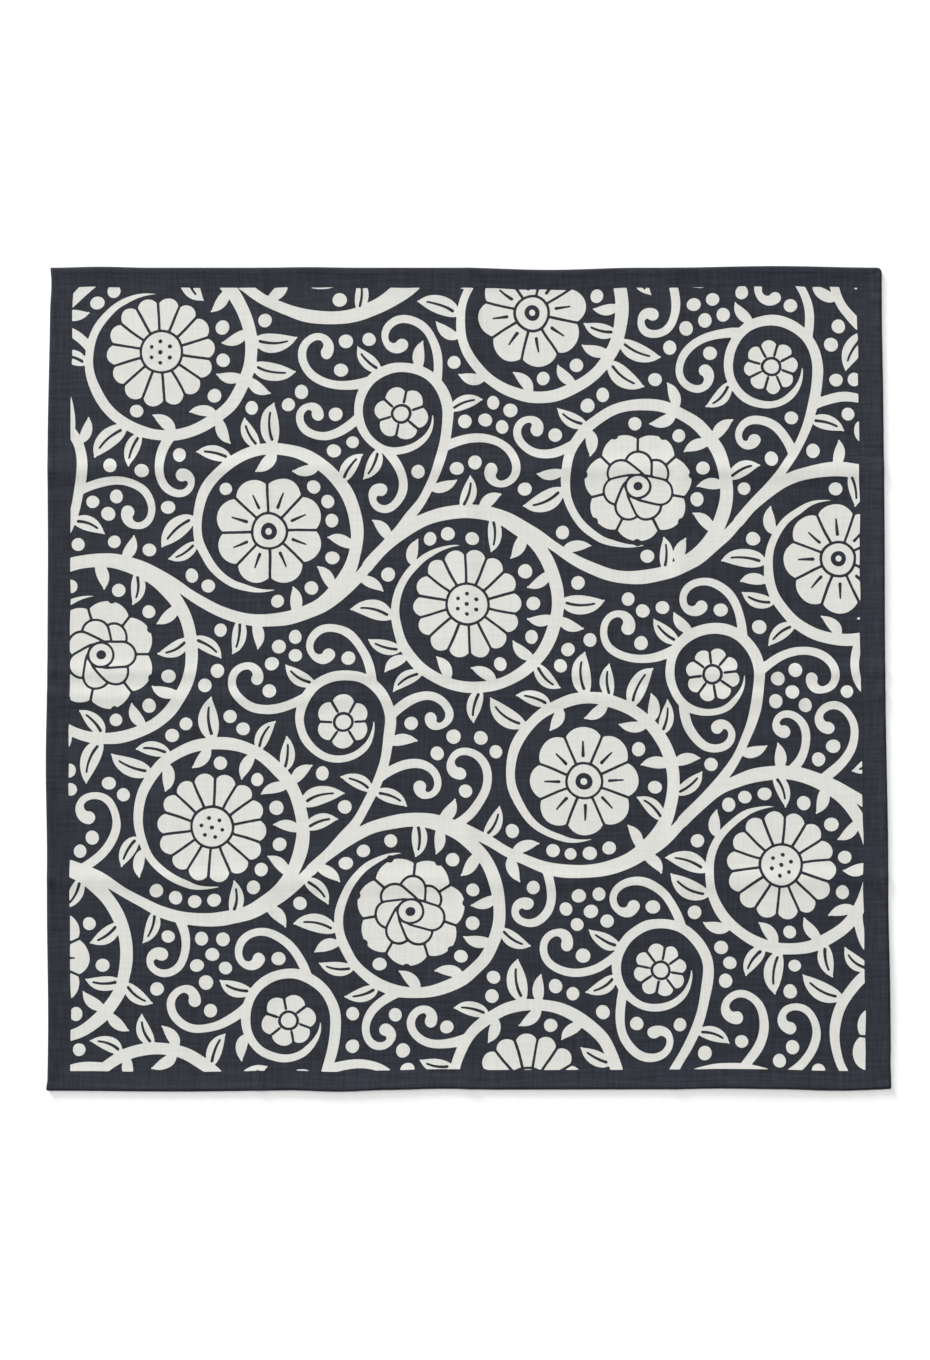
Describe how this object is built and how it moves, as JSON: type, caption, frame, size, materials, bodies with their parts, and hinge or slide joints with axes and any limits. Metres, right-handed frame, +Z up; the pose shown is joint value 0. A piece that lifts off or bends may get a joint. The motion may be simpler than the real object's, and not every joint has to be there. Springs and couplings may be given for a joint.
{
  "type": "bandana",
  "caption": "Square hemmed cotton bandana lying flat, its printed face up, with a narrow rolled edge and soft creases from having been folded.",
  "frame": {"origin": "on the surface that the cloth lies on, under the middle of its bounding box", "axes": "+X to the right along the lower edge, +Y up the cloth, +Z up out of its printed face"},
  "size_m": [0.535, 0.5224, 0.0026],
  "materials": {
    "printed_cotton": "dull plain-weave cotton, dark blue with off-white print"
  },
  "bodies": {
    "root": {"bandana_cloth": "printed_cotton"}
  },
  "joints": []
}
